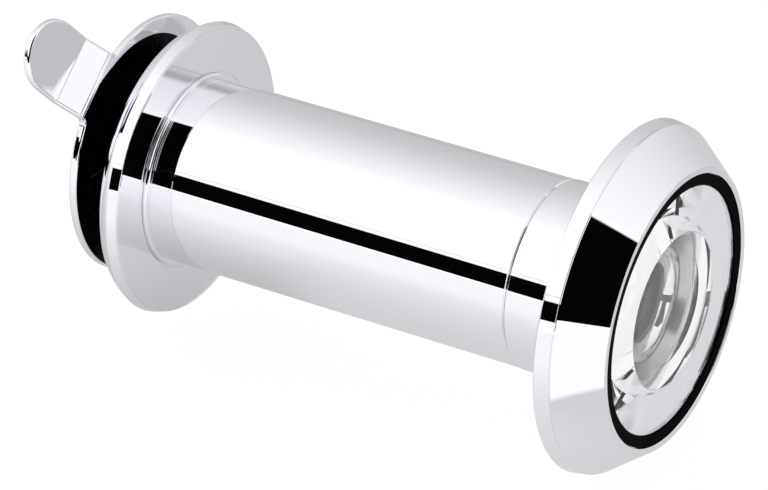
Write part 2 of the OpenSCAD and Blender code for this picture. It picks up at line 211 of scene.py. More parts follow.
def turned_mesh(runs, steps):
    """Vertices, faces and loop normals of the surface that the runs sweep about the X axis."""
    verts, faces, normals, rings = [], [], [], {}
    turn = [(cos(2 * pi * k / steps), sin(2 * pi * k / steps)) for k in range(steps)]

    def ring(r, x):
        """Indexes of a ring's vertices, which are all the same one on the axis."""
        key = (round(r, 6), round(x, 6))
        if key not in rings:
            start = len(verts)
            if r < NOTHING:
                verts.append((x * MM, 0, 0))
                rings[key] = [start] * steps
            else:
                verts.extend((x * MM, r * c * MM, r * s * MM) for c, s in turn)
                rings[key] = list(range(start, start + steps))
        return rings[key]

    for run in runs:
        for (r0, x0, a0, b0), (r1, x1, a1, b1) in zip(run[:-1], run[1:]):
            if hypot(r1 - r0, x1 - x0) < NOTHING:
                continue
            low, high = ring(r0, x0), ring(r1, x1)
            for k in range(steps):
                m = (k + 1) % steps
                loop = [(low[k], a0, b0, k), (low[m], a0, b0, m), (high[m], a1, b1, m), (high[k], a1, b1, k)]
                # A face that touches the axis has three corners
                seen, corners = set(), []
                for c in loop:
                    if c[0] not in seen:
                        seen.add(c[0])
                        corners.append(c)
                faces.append([c[0] for c in corners])
                normals.extend((b, a * turn[t][0], a * turn[t][1]) for _, a, b, t in corners)
    return verts, faces, normals


def linked(name, data):
    """A new object in the scene."""
    made = bpy.data.objects.new(name, data)
    bpy.context.scene.collection.objects.link(made)
    return made


def add_piece(name, verts, faces, normals, body, material, at=(0, 0)):
    """Makes and places a mesh object. It rides on a body, and replaces the node that has its name."""
    mesh = bpy.data.meshes.new(name)
    mesh.from_pydata([Vector(v) + Vector((0, at[0] * MM, at[1] * MM)) for v in verts], [], faces)
    mesh.polygons.foreach_set("use_smooth", [True] * len(mesh.polygons))
    mesh.update()
    if normals:
        mesh.normals_split_custom_set([Vector(n).normalized() for n in normals])
    mesh.materials.append(material)
    piece = linked(name, mesh)
    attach(piece, body)
    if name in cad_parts:
        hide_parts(name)
    return piece


def turned(name, runs, body, material, at=(0, 0), steps=None):
    """A turned piece from its profile's runs."""
    verts, faces, normals = turned_mesh(runs, steps or shape().steps)
    return add_piece(name, verts, faces, normals, body, material, at)


def dress(name, material):
    """Gives a CAD node that stays in view its material."""
    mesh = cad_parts[name].data
    mesh.materials.clear()
    mesh.materials.append(material)


# Shader building


class Graph:
    """Adds nodes to one node tree and wires them up"""

    spacing = 200

    def __init__(self, tree):
        self.tree = tree
        self.columns = {}

    def put(self, socket, value):
        """Lets an input follow another node's output or hold a value. None leaves it alone."""
        if isinstance(value, bpy.types.NodeSocket):
            self.tree.links.new(value, socket)
        elif value is not None:
            socket.default_value = value

    def add(self, kind, *inputs, **settings):
        """Adds a node. Inputs go in order, and a setting such as in_Scale is for the input of that name."""
        made = self.tree.nodes.new(kind)
        for key, value in settings.items():
            if key.startswith("in_"):
                self.put(made.inputs[key[3:]], value)
            else:
                setattr(made, key, value)
        for socket, value in zip(made.inputs, inputs):
            self.put(socket, value)
        self.place(made)
        return made

    def place(self, made):
        """Stands a node in the column to the right of all nodes that it follows."""
        before = [self.columns.get(link.from_node.name, 0) for socket in made.inputs for link in socket.links]
        column = max(before, default=-1) + 1
        row = list(self.columns.values()).count(column)
        self.columns[made.name] = column
        made.location = (column * self.spacing, -row * self.spacing)

    def math(self, operation, *values, clamp=False):
        return self.add("ShaderNodeMath", *values, operation=operation, use_clamp=clamp).outputs[0]

    def times(self, a, b):
        return self.math("MULTIPLY", a, b)

    def ramp(self, value, low, high, start=0.0, end=1.0, kind="SMOOTHSTEP"):
        """Goes from start to end while the value goes from low to high."""
        made = self.add("ShaderNodeMapRange", value, low, high, start, end, interpolation_type=kind)
        return made.outputs[0]

    def mix(self, factor, a, b):
        """Mixes two numbers."""
        return self.add("ShaderNodeMix", factor, None, a, b, data_type="FLOAT").outputs[0]

    def shaded(self, colour, level):
        """A colour times a level. The five inputs between are for other kinds of mix."""
        unused = [None] * 5
        made = self.add("ShaderNodeMix", 1.0, *unused, colour, level, data_type="RGBA", blend_type="MULTIPLY")
        return made.outputs[2]

    def axes(self, kind="Object"):
        """X, Y and Z of the place that is shaded."""
        return self.add("ShaderNodeSeparateXYZ", self.add("ShaderNodeTexCoord").outputs[kind]).outputs


def shader_group(name, inputs, outputs):
    """A node group's graph, the sockets that bring its inputs, and those that take its outputs."""
    group = bpy.data.node_groups.new(name, "ShaderNodeTree")
    for direction, sockets in (("INPUT", inputs), ("OUTPUT", outputs)):
        for label, kind, default in sockets:
            socket = group.interface.new_socket(label, in_out=direction, socket_type=kind)
            if default is not None:
                socket.default_value = default
    given, result = group.nodes.new("NodeGroupInput"), group.nodes.new("NodeGroupOutput")
    return Graph(group), given.outputs, result.inputs


def polish_group():
    """Roughness that varies a little with wiping marks, and a faint waviness for bump."""
    if "Polish" in bpy.data.node_groups:
        return bpy.data.node_groups["Polish"]
    g, given, result = shader_group(
        "Polish",
        [("Roughness", "NodeSocketFloat", 0.02), ("Marks", "NodeSocketFloat", 0.02),
         ("Scale", "NodeSocketFloat", 220.0)],
        [("Roughness", "NodeSocketFloat", None), ("Height", "NodeSocketFloat", None)])
    finer, marks_from, marks_full = 14.0, 0.35, 0.75
    place = g.add("ShaderNodeTexCoord").outputs["Object"]
    fine_scale = g.times(given["Scale"], finer)
    wide = g.add("ShaderNodeTexNoise", in_Vector=place, in_Scale=given["Scale"], in_Detail=3.0)
    fine = g.add("ShaderNodeTexNoise", in_Vector=place, in_Scale=fine_scale, in_Detail=5.0, in_Roughness=0.6)
    spread = g.ramp(wide.outputs["Fac"], marks_from, marks_full, kind="LINEAR")
    marks = g.times(spread, given["Marks"])
    g.put(result["Roughness"], g.math("ADD", marks, given["Roughness"]))
    g.put(result["Height"], fine.outputs["Fac"])
    return g.tree


def turning_group():
    """Fine rings left by turning, round the barrel's axis, with a little colour change."""
    if "Turning rings" in bpy.data.node_groups:
        return bpy.data.node_groups["Turning rings"]
    g, given, result = shader_group(
        "Turning rings",
        [("Colour", "NodeSocketColor", (0.5, 0.5, 0.5, 1)), ("Contrast", "NodeSocketFloat", 0.1),
         ("Rings per metre", "NodeSocketFloat", 14000.0)],
        [("Colour", "NodeSocketColor", None), ("Height", "NodeSocketFloat", None)])
    x, y, z = g.axes()
    squares = g.math("ADD", g.times(y, y), g.times(z, z))
    along = g.math("ADD", g.math("SQRT", squares), x)
    scaled = g.times(along, given["Rings per metre"])
    noise = g.add("ShaderNodeTexNoise", noise_dimensions="1D", in_W=scaled, in_Scale=1.0, in_Detail=3.0)
    darker = g.times(noise.outputs["Fac"], given["Contrast"])
    level = g.math("SUBTRACT", 1.0, darker)
    g.put(result["Colour"], g.shaded(given["Colour"], level))
    g.put(result["Height"], noise.outputs["Fac"])
    return g.tree


def principled(name, **sockets):
    """A material with one Principled BSDF, its node graph and its shader's inputs."""
    material = bpy.data.materials.new(name)
    material.use_nodes = True
    shader = material.node_tree.nodes["Principled BSDF"]
    for key, value in sockets.items():
        shader.inputs[key.replace("_", " ")].default_value = value
    return material, Graph(material.node_tree), shader.inputs


def waved(g, shader, height, strength):
    """Bumps a shader's surface."""
    bump = g.add("ShaderNodeBump", in_Strength=strength, in_Distance=WAVE_DEPTH, in_Height=height)
    g.put(shader["Normal"], bump.outputs[0])


def polished(name, colour, roughness, marks, scale, wave=0.0, **sockets):
    """A smooth finish whose roughness and surface vary a little."""
    if name in bpy.data.materials:
        return bpy.data.materials[name]
    material, g, shader = principled(name, Base_Color=colour, **sockets)
    polish = g.add("ShaderNodeGroup", roughness, marks, scale, node_tree=polish_group())
    g.put(shader["Roughness"], polish.outputs["Roughness"])
    if wave:
        waved(g, shader, polish.outputs["Height"], wave)
    return material


def ringed(name, colour, contrast, per_metre, roughness, depth, **sockets):
    """A turned finish with fine rings."""
    if name in bpy.data.materials:
        return bpy.data.materials[name]
    material, g, shader = principled(name, Roughness=roughness, **sockets)
    rings = g.add("ShaderNodeGroup", colour, contrast, per_metre, node_tree=turning_group())
    g.put(shader["Base Color"], rings.outputs["Colour"])
    waved(g, shader, rings.outputs["Height"], depth)
    return material


def chrome():
    f = finish()
    return polished("chrome_plate", f.chrome, f.chrome_roughness, marks=0.012, scale=180.0, Metallic=1.0)


def nickel():
    return ringed("nickel_plate", finish().nickel, contrast=0.25, per_metre=9000.0, roughness=0.22,
                  depth=0.25, Metallic=1.0)


def steel():
    return polished("bare_spring_steel", finish().steel, 0.12, marks=0.12, scale=600.0, wave=0.2,
                    Metallic=1.0)


def seat_finish_with_painted_reflection():
    """Polish of the ring behind the front lens, with a painted reflection in its colour: two darker spokes
    and a darker side between them.
    """
    if "polished_seat" in bpy.data.materials:
        return bpy.data.materials["polished_seat"]
    material = polished("polished_seat", finish().chrome, 0.03, marks=0.03, scale=400.0, wave=0.02,
                        Metallic=1.0)
    # Angles of the two spokes of painted reflection, and half widths of a spoke's core and of its soft edge
    lower, upper, core, edge = (radians(angle) for angle in (-148, 84, 3, 11))
    # How much the painted reflection darkens the chrome in a spoke and on the side between the spokes
    painted_spoke_shade, painted_side_shade = 0.55, 0.22
    g = Graph(material.node_tree)
    _, y, z = g.axes()
    turn = g.math("ARCTAN2", z, y)
    spokes = []
    for angle in (upper, lower):
        away = g.math("ABSOLUTE", g.math("SUBTRACT", turn, angle))
        spokes.append(g.ramp(away, core, edge, painted_spoke_shade, 0.0))
    above = g.math("GREATER_THAN", turn, lower)
    below = g.math("LESS_THAN", turn, upper)
    side = g.times(g.times(above, below), painted_side_shade)
    # The painted reflection: the darker of the spokes and the side, taken off the chrome's colour
    painted_reflection_shade = g.math("MAXIMUM", g.math("MAXIMUM", *spokes), side)
    level = g.math("SUBTRACT", 1.0, painted_reflection_shade)
    shader = material.node_tree.nodes["Principled BSDF"]
    g.put(shader.inputs["Base Color"], g.shaded(finish().chrome, level))
    return material


def rubber():
    return polished("glossy_rubber", finish().black, 0.08, marks=0.1, scale=500.0, wave=0.05,
                    Specular_IOR_Level=0.004)


def black_plastic():
    return polished("satin_plastic", finish().black, 0.18, marks=0.15, scale=400.0, wave=0.1,
                    Specular_IOR_Level=0.03)


def black_lacquer():
    return polished("black_lacquer", finish().black, 0.25, marks=0.15, scale=500.0, wave=0.1,
                    Specular_IOR_Level=0.05)


def black_anodised():
    return ringed("black_anodised", finish().anodised, contrast=0.3, per_metre=7000.0, roughness=0.4,
                  depth=0.4, Metallic=0.6)


def clear_glass(name, tint):
    return polished(name, tint, 0.0, marks=0.004, scale=300.0, Transmission_Weight=1.0, IOR=1.52)


def front_glass():
    return clear_glass("clear_front_lens", finish().front_glass)


def lens_glass():
    return clear_glass("clear_lens", finish().glass)


# Pieces


class Builder:
    """What each operator that builds pieces shares"""

    bl_options = {"REGISTER", "UNDO"}

    def execute(self, context):
        self.build()
        return {"FINISHED"}


class VIEWER_OT_bezel(Builder, bpy.types.Operator):
    """Build the bezel with its neck and threaded tube"""

    bl_idname = "viewer.bezel"
    bl_label = "Bezel"

    def build(self):
        rim_r, neck_r, tube_r, bore_r = 12.9, 7.0, 5.5, 4.9
        lip_r, seat_r, cup_r, cup_depth = 10.4, 9.97, 6.2, 3.8
        neck_end, chamfer, neck_round = -5.6, 0.12, 0.1
        # Radius and x of the fine line that parts the rim's band from its cone
        fine_line = ((12.735, 1.2), (12.66, 1.24), (12.68, 1.3))
        e, f = shape().edge / MM, shape().fine_edge / MM
        tube_end, lip = offset_from("bezel")
        floor = offset_from("seat_ring")[0]
        cup_back = floor - cup_depth
        turned("bezel", outline([
            (bore_r, tube_end, f), (tube_r, tube_end, f), (tube_r, neck_end), (neck_r - chamfer, neck_end, f),
            (neck_r, neck_end + chamfer, f), (neck_r, 0, neck_round), (rim_r - chamfer, 0, e),
            (rim_r, chamfer, e), *fine_line, (lip_r, lip, e), (seat_r, lip, e), (seat_r, floor),
            (cup_r, floor, f), (cup_r, cup_back), (bore_r, cup_back, f)]),
            "outside_half", chrome())
        self.thread(tube_r)

    def thread(self, tube_r):
        """The screw thread round the tube: a ridge that follows a helix and runs out at both ends."""
        pitch, turns, crest_r, thread_start = 1.0, 23, 6.0, -6.8
        # Half widths of the thread's foot and crest, and how deep its foot and its run-outs lie in the tube
        foot, crest, sunk, run_out = 0.38, 0.13, 0.05, 0.03
        per_turn = 72
        total = turns * per_turn
        foot_r, low_r = tube_r - sunk, tube_r - run_out
        verts, faces = [], []
        for i in range(total + 1):
            angle = 2 * pi * i / per_turn
            grow = min(1, i / per_turn * 2, (total - i) / per_turn * 2)
            top = low_r + (crest_r - low_r) * grow
            x = thread_start - pitch * i / per_turn
            for r, dx in ((foot_r, foot), (top, crest), (top, -crest), (foot_r, -foot)):
                verts.append(((x + dx) * MM, r * cos(angle) * MM, r * sin(angle) * MM))
        for i in range(total):
            for j in range(4):
                a, b = 4 * i + j, 4 * i + (j + 1) % 4
                faces.append([a, b, b + 4, a + 4])
        faces.append([3, 2, 1, 0])
        faces.append([4 * total + j for j in range(4)])
        ridge = add_piece("thread", verts, faces, None, "outside_half", chrome())
        ridge.data.set_sharp_from_angle(angle=radians(30))


class VIEWER_OT_front_lenses(Builder, bpy.types.Operator):
    """Build the black seal, the front lens, its seat, and the cup with the second lens"""

    bl_idname = "viewer.front_lenses"
    bl_label = "Front lens group"

    def build(self):
        # The seal and the seat ring fill the bezel's recess, and the lens fills the seal
        outer_r, seal_bore, lens_r, opening = 9.93, 9.08, 9.04, 5.55
        seal_fall, seal_rounds = 0.05, (0.08, 0.12)
        lens_edge, dome_rise, bowl_depth = 1.05, 0.95, 1.0
        # The bead round the opening: widths of its flat top and of all of it, rise, drop and roundings
        bead_flat, bead, bead_rise, bead_drop, bead_round, foot_round = 0.22, 0.44, 0.22, 0.02, 0.08, 0.05
        cup_r, cup_mouth, cup_bore, cup_hole, cone_depth, bore_depth = 6.16, 5.47, 4.54, 3.6, 1.28, 3.26
        second_r, second_hollow_r, second_hollow = 4.5, 3.85, 0.85
        f = shape().fine_edge / MM
        body = "outside_half"
        low, high = offset_from("objective_seal")
        outer, inner = seal_rounds
        turned("objective_seal", outline([
            (seal_bore, low, f), (outer_r, low, f), (outer_r, high, outer),
            (seal_bore, high - seal_fall, inner)]),
            body, rubber())
        low, apex = offset_from("objective_lens")
        dome = sphere_r(lens_r, dome_rise)
        hollow = sphere_r(opening, bowl_depth)
        edge = low + lens_edge
        turned("objective_lens", [
            flipped(bowl(low + bowl_depth - hollow, hollow, 0, opening, 1)),
            *straights((opening, low), (lens_r, low), (lens_r, edge)),
            bowl(apex - dome, dome, lens_r, 0, 1)],
            body, front_glass())
        low, high = offset_from("seat_ring")
        bead_top = high - bead_drop
        turned("seat_ring", outline([
            (opening, low), (outer_r, low), (outer_r, high, f), (lens_r, high),
            (opening + bead, high - bead_rise, foot_round),
            (opening + bead_flat, bead_top, bead_round), (opening, bead_top, bead_round)]),
            body, seat_finish_with_painted_reflection())
        low, high = offset_from("objective_cup")
        cup_floor = high - bore_depth
        turned("objective_cup", outline([
            (cup_hole, low, f), (cup_r, low), (cup_r, high, f), (cup_mouth, high, f),
            (cup_bore, high - cone_depth, f), (cup_bore, cup_floor), (cup_hole, cup_floor, f)]),
            body, nickel())
        low, high = offset_from("second_lens")
        hollow = sphere_r(second_hollow_r, second_hollow)
        turned("second_lens", [
            *straights((0, low), (second_r, low), (second_r, high), (second_hollow_r, high)),
            flipped(bowl(high - second_hollow + hollow, hollow, second_hollow_r, 0, -1))],
            body, lens_glass())


class VIEWER_OT_lens_tube(Builder, bpy.types.Operator):
    """Build the spacer, the third lens, the black tube and the ring that locks them in"""

    bl_idname = "viewer.lens_tube"
    bl_label = "Lens tube"

    def build(self):
        tube_r, bore_r, hollow_depth = 4.86, 4.31, 0.7
        f = shape().fine_edge / MM
        body = "outside_half"
        for name in ("front_spacer", "lens_tube"):
            low, high = offset_from(name)
            turned(name, ring_profile(bore_r, tube_r, low, high, f, f),
                   body, black_anodised())
        low, high = offset_from("third_lens")
        hollow = sphere_r(bore_r, hollow_depth)
        turned("third_lens", [
            flipped(bowl(low + hollow_depth - hollow, hollow, 0, bore_r, 1)),
            *straights((bore_r, low), (tube_r, low), (tube_r, high), (bore_r, high)),
            flipped(bowl(high - hollow_depth + hollow, hollow, bore_r, 0, -1))],
            body, lens_glass())
        dress("lens_lock_ring", nickel())


class VIEWER_OT_sleeve(Builder, bpy.types.Operator):
    """Build the sleeve and the washer behind it"""

    bl_idname = "viewer.sleeve"
    bl_label = "Sleeve and washer"

    def build(self):
        barrel_r, bore_r, stub_r, stub_bore, chamfer = 6.95, 6.07, 5.2, 4.34, 0.12
        barrel_end, bore_end = -35, -31.95
        washer_r, washer_bore, washer_round = 7.35, 5.25, 0.21
        f = shape().fine_edge / MM
        low, high = offset_from("sleeve")
        turned("sleeve", outline([
            (stub_bore, low, f), (stub_r, low, f), (stub_r, barrel_end), (barrel_r, barrel_end, f),
            (barrel_r, high - chamfer, f), (barrel_r - chamfer, high, f), (bore_r, high, f),
            (bore_r, bore_end), (stub_bore, bore_end, f)]),
            "inside_half", chrome())
        low, high = offset_from("thrust_washer")
        turned("thrust_washer", ring_profile(washer_bore, washer_r, low, high, f, washer_round),
               "washer", chrome())


class VIEWER_OT_eyepiece(Builder, bpy.types.Operator):
    """Build the eyepiece, its lens and the spring ring"""

    bl_idname = "viewer.eyepiece"
    bl_label = "Eyepiece"

    def build(self):
        flange_r, flange_t, tube_r, bore_r, hole_r = 6.2, 0.7, 4.3, 3.8, 3.3
        floor_depth, funnel_depth, flange_round, funnel_round = 1.0, 0.5, 0.1, 0.15
        lens_r, lens_edge, dome_r, dome_rise = 3.76, 1.1, 3.36, 0.9
        f = shape().fine_edge / MM
        body = "inside_half"
        low, high = offset_from("eyepiece_cup")
        floor, flange_top = low + floor_depth, low + flange_t
        cup = turned("eyepiece_cup", outline([
            (hole_r, low + funnel_depth, flange_round), (bore_r, low, funnel_round),
            (flange_r, low, flange_round), (flange_r, flange_top, f), (tube_r, flange_top),
            (tube_r, high, f), (bore_r, high, f), (bore_r, floor), (hole_r, floor, f)]),
            body, black_plastic())
        self.cut_slot(cup, low)
        low, high = offset_from("eyepiece_lens")
        edge = low + lens_edge
        dome = sphere_r(dome_r, dome_rise)
        turned("eyepiece_lens", [
            *straights((0, low), (lens_r, low), (lens_r, edge), (dome_r, edge)),
            bowl(high - dome, dome, dome_r, 0, 1)],
            body, lens_glass())
        dress("snap_ring", steel())

    def cut_slot(self, cup, back):
        """Cuts the two halves of the coin slot into the flange."""
        # Distances of the slot's ends from the axis, its half width and depth, and the cutter's excess
        slot_from, slot_to, slot_half, slot_depth, cut_past = 3.9, 7, 0.65, 0.4, 1
        verts, faces = [], []
        for side in (-1, 1):
            start = len(verts)
            for x in (back - cut_past, back + slot_depth):
                for y in (slot_from * side, slot_to * side):
                    for z in (-slot_half, slot_half):
                        verts.append((x * MM, y * MM, z * MM))
            cube = [(0, 1, 3, 2), (4, 6, 7, 5), (0, 4, 5, 1), (2, 3, 7, 6), (0, 2, 6, 4), (1, 5, 7, 3)]
            faces += [[start + i for i in (f if side > 0 else f[::-1])] for f in cube]
        mesh = bpy.data.meshes.new("slot_cutter")
        mesh.from_pydata(verts, [], faces)
        cutter = linked("slot_cutter", mesh)
        cut = cup.modifiers.new("Coin slot", "BOOLEAN")
        cut.operation, cut.object, cut.solver = "DIFFERENCE", cutter, "EXACT"
        bpy.context.view_layer.update()
        graph = bpy.context.evaluated_depsgraph_get()
        mesh = bpy.data.meshes.new_from_object(cup.evaluated_get(graph))
        cup.modifiers.clear()
        old, cup.data = cup.data, mesh
        bpy.data.meshes.remove(old)
        bpy.data.objects.remove(cutter)
        mesh.set_sharp_from_angle(angle=radians(35))


class VIEWER_OT_rosette(Builder, bpy.types.Operator):
    """Build the rosette with the boss that carries the cover"""

    bl_idname = "viewer.rosette"
    bl_label = "Rosette"

    def build(self):
        rim_r, face_r, shoulder_r, round_r, round_steps = 11.0, 10.8, 9.05, 4, 16
        rim_depth, seat, back = 0.7, -37.15, -38.05
        well_r, well_depth, bore_r, recess_r = 7.45, 0.1, 5.25, 6.3
        # Radius and depth of the fine line near the edge of the face
        fine_line = ((10.7, 0), (10.66, 0.06), (10.62, 0))
        boss_bore, boss_r, boss_sunk, boss_steps = 0.75, 1.2, 0.2, 64
        # How far past the flat back's plane and shoulder a face of it may lie
        back_reach, shoulder_reach = 0.02, 0.01
        e, f = shape().edge / MM, shape().fine_edge / MM
        low, high = offset_from("rosette")
        well = high - well_depth
        rim, shoulder = Vector((rim_r, high - rim_depth)), Vector((shoulder_r, back))
        chord = rim - shoulder
        normal = Vector((chord.y, -chord.x)).normalized()
        centre = (rim + shoulder) / 2 - normal * sqrt(round_r ** 2 - chord.length_squared / 4)
        start, end = (atan2(p.y - centre.y, p.x - centre.x) for p in (shoulder, rim))
        curve = []
        for i in range(round_steps + 1):
            a = start + (end - start) * i / round_steps
            c, s = cos(a), sin(a)
            curve.append((centre.x + round_r * c, centre.y + round_r * s, c, s))
        line = [(r, high - depth) for r, depth in fine_line]
        loop = [tuple(rim), (face_r, high, e), *line, (well_r, high, f), (well_r, well), (bore_r, well, f),
                (bore_r, seat, f), (recess_r, seat), (recess_r, back, f), tuple(shoulder)]
        runs = outline(loop)[:-1]
        rosette = turned("rosette", runs + [curve], "rosette", chrome())
        rosette.data.materials.append(black_lacquer())
        plane, reach = (back + back_reach) * MM, (shoulder_r + shoulder_reach) * MM
        for face in rosette.data.polygons:
            points = [rosette.data.vertices[i].co for i in face.vertices]
            if face.center.x < plane and all(hypot(p.y, p.z) < reach for p in points):
                face.material_index = 1
        boss_foot = back + boss_sunk
        turned("rosette_boss", outline([
            (boss_bore, low, f), (boss_r, low, f), (boss_r, boss_foot), (boss_bore, boss_foot)]),
            "rosette", black_lacquer(), at=pivot(), steps=boss_steps)


def pivot():
    """Where the cover's pivot stands, in millimetres."""
    low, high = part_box("pivot_rivet")
    return (low.y + high.y) / 2 / MM, (low.z + high.z) / 2 / MM


class VIEWER_OT_pivot(Builder, bpy.types.Operator):
    """Build the rivet and washers that the cover turns on"""

    bl_idname = "viewer.pivot"
    bl_label = "Pivot"

    def build(self):
        head_r, head_rise, shank_r = 1.6, 0.6, 0.75
        washer_bore, washer_r, washer_round = 0.8, 1.9, 0.06
        spring_r, spring_t = 2, 0.15
        steps = 96
        f = shape().fine_edge / MM
        at = pivot()
        low, high = offset_from("pivot_rivet")
        under, dome = low + head_rise, sphere_r(head_r, head_rise)
        turned("pivot_rivet", [
            bowl(low + dome, dome, 0, head_r, -1),
            *straights((head_r, under), (shank_r, under), (shank_r, high), (0, high))],
            "rosette", chrome(), at=at, steps=steps)
        for name in ("flat_washer", "rivet_washer"):
            low, high = offset_from(name)
            turned(name, ring_profile(washer_bore, washer_r, low, high, f, washer_round),
                   "rosette", nickel(), at=at, steps=steps)
        low, high = offset_from("spring_washer")
        turned("spring_washer", outline([
            (washer_bore, high - spring_t, f), (spring_r, low, f), (spring_r, low + spring_t, f),
            (washer_bore, high, f)]),
            "rosette", steel(), at=at, steps=steps)


class VIEWER_OT_cover(Builder, bpy.types.Operator):
    """Build the cover: a disc of sheet with a twice bent thumb tab"""

    bl_idname = "viewer.cover"
    bl_label = "Cover"

    radius, thick, width = 9.65, 0.6, 5.35
    bend_r, corner_r, hole_r = 0.45, 0.5, 0.8
    # Distances of the first bend from the disc's centre, of the second from the first, of the tip from there
    root, rise, reach = 10.15, 2.24, 4.76
    first, second = radians(35), radians(21.6)
    # Centre of the disc in y and z, lean of the tab, and gap between the washer and the sheet
    centre = (-0.458, 1.369)
    lean = radians(40)
    front_gap = 0.02
    disc_steps, corner_steps, bend_steps, tip_steps, hole_steps = 180, 8, 10, 40, 48

    def lengths(self):
        """Ends of each stretch of the tab along the sheet."""
        outer = self.bend_r + self.thick
        mid = (self.bend_r + outer) / 2
        t1, t2 = tan(self.first / 2), tan(self.second / 2)
        a = self.root - outer * t1
        b = a + mid * self.first
        c = b + self.rise - outer * t1 - self.bend_r * t2
        d = c + mid * self.second
        return a, b, c, d, d + self.reach - self.bend_r * t2 - self.width / 2

    def placed(self, x, y, depth, nx, ny, nz):
        """A point of the flat sheet (depth is 0 on its front face, negative behind) and a direction there,
        bent along the tab and moved to the cover's place in the frame."""
        a, b, c, d, _ = self.lengths()
        outer = self.bend_r + self.thick
        turn, px, pz = 0.0, x, depth
        if x > a:
            turn = self.first * min((x - a) / (b - a), 1)
            px = a + (outer + depth) * sin(turn)
            pz = -outer + (outer + depth) * cos(turn)
        if x > b:
            s = min(x, c) - b
            px += s * cos(self.first)
            pz -= s * sin(self.first)
        if x > c:
            back = self.second * min((x - c) / (d - c), 1)
            turn = self.first - back
            lift = self.bend_r - depth
            px += lift * (sin(self.first) - sin(turn))
            pz += lift * (cos(self.first) - cos(turn))
            s = max(x - d, 0)
            px += s * cos(turn)
            pz -= s * sin(turn)
        mx, mz = nx * cos(turn) + nz * sin(turn), -nx * sin(turn) + nz * cos(turn)
        return self.to_frame(px, y, pz), self.to_frame(mx, ny, mz, direction=True)

    def to_frame(self, x, y, z, direction=False):
        """From the sheet's own axes to the frame."""
        turn = pi + self.lean
        u, v = x * cos(turn) - y * sin(turn), x * sin(turn) + y * cos(turn)
        if direction:
            return Vector((z, v, -u))
        return Vector(((self.front + z) * MM, (self.centre[0] + v) * MM, (self.centre[1] - u) * MM))

    def edge_line(self):
        """The flat sheet's outline, counter-clockwise, with outward normals, then the index of the tab's
        first point and the number of points along one side of the tab."""
        half, r, rc = self.width / 2, self.radius, self.corner_r
        fx = sqrt((r + rc) ** 2 - (half + rc) ** 2)
        meet = atan2(half + rc, fx)
        a, b, c, d, tip = self.lengths()
        line = []
        for i in range(self.disc_steps + 1):
            t = meet + (2 * pi - 2 * meet) * i / self.disc_steps
            line.append((r * cos(t), r * sin(t), cos(t), sin(t)))
        below = []
        start = pi - meet
        for i in range(1, self.corner_steps + 1):
            t = start + (pi / 2 - start) * i / self.corner_steps
            below.append((fx + rc * cos(t), -half - rc + rc * sin(t), -cos(t), -sin(t)))
        line += below
        n = self.bend_steps
        stations = [p + (q - p) * i / n for p, q in ((a, b), (c, d)) for i in range(n + 1)]
        line += [(s, -half, 0, -1) for s in stations]
        for i in range(self.tip_steps + 1):
            t = -pi / 2 + pi * i / self.tip_steps
            line.append((tip + half * cos(t), half * sin(t), cos(t), sin(t)))
        line += [(s, half, 0, 1) for s in reversed(stations)]
        line += [(x, -y, nx, -ny) for x, y, nx, ny in reversed(below)]
        first = self.disc_steps + 1 + len(below)
        return line, first, len(stations)

    def hole_line(self):
        """The pivot hole's outline in the flat sheet, with normals that point into the hole."""
        y, z = pivot()
        dy, dz = y - self.centre[0], z - self.centre[1]
        turn = pi + self.lean
        u, v = -dz, dy
        x0, y0 = u * cos(turn) + v * sin(turn), -u * sin(turn) + v * cos(turn)
        line = []
        for i in range(self.hole_steps):
            t = -2 * pi * i / self.hole_steps
            c, s = cos(t), sin(t)
            line.append((x0 + self.hole_r * c, y0 + self.hole_r * s, -c, -s))
        return line

    def build(self):
        self.front = offset_from("flat_washer")[0] - self.front_gap
        verts, faces, normals = [], [], []
        edge = shape().sheet_edge / MM
        levels = []
        for i in range(ARC_STEPS + 1):
            t = pi / 2 * i / ARC_STEPS
            levels.append((edge * (1 - sin(t)), -edge * (1 - cos(t)), sin(t), cos(t)))
        levels += [(inset, -self.thick - depth, out, -up) for inset, depth, out, up in reversed(levels)]
        line, first, count = self.edge_line()
        hole = self.hole_line()
        rings = []
        # The hole's edges have half the rounding
        for path, rounding in ((line, 1.0), (hole, 0.5)):
            ring = []
            for inset, depth, out, up in levels:
                nearer = 0 if depth > -self.thick / 2 else -self.thick
                deep = nearer + (depth - nearer) * rounding
                row = []
                for x, y, nx, ny in path:
                    p, n = self.placed(x - nx * inset * rounding, y - ny * inset * rounding, deep,
                                       nx * out, ny * out, up)
                    row.append(len(verts))
                    verts.append(p)
                    normals.append(n)
                ring.append(row)
            rings.append(ring)
            total = len(path)
            for low, high in zip(ring[:-1], ring[1:]):
                for k in range(total):
                    m = (k + 1) % total
                    faces.append([low[k], high[k], high[m], low[m]])
        flat = []
        for level in (0, len(levels) - 1):
            outer, inner = rings[0][level], rings[1][level]
            last = first + 2 * count + self.tip_steps + 1
            tab = [outer[first + i] for i in range(count)]
            tab_back = [outer[last - 1 - i] for i in range(count)]
            disc = outer[:first + 1] + outer[last - 1:]
            tip = outer[first + count - 1:last - count + 1]
            for i in range(count - 1):
                flat.append([tab[i], tab[i + 1], tab_back[i + 1], tab_back[i]])
            flat.append(tip)
            loops = [[verts[i] / MM for i in disc], [verts[i] / MM for i in inner]]
            index = disc + inner
            for triangle in tessellate_polygon(loops):
                flat.append([index[i] for i in triangle])
        for face in flat:
            a, b, c = (verts[i] for i in face[:3])
            up = sum((normals[i] for i in face), Vector((0, 0, 0)))
            if (b - a).cross(c - a).dot(up) < 0:
                face = face[::-1]
            faces.append(face)
        loop_normals = [normals[i] for face in faces for i in face]
        add_piece("cover", verts, faces, loop_normals, "cover", chrome())


# Stage


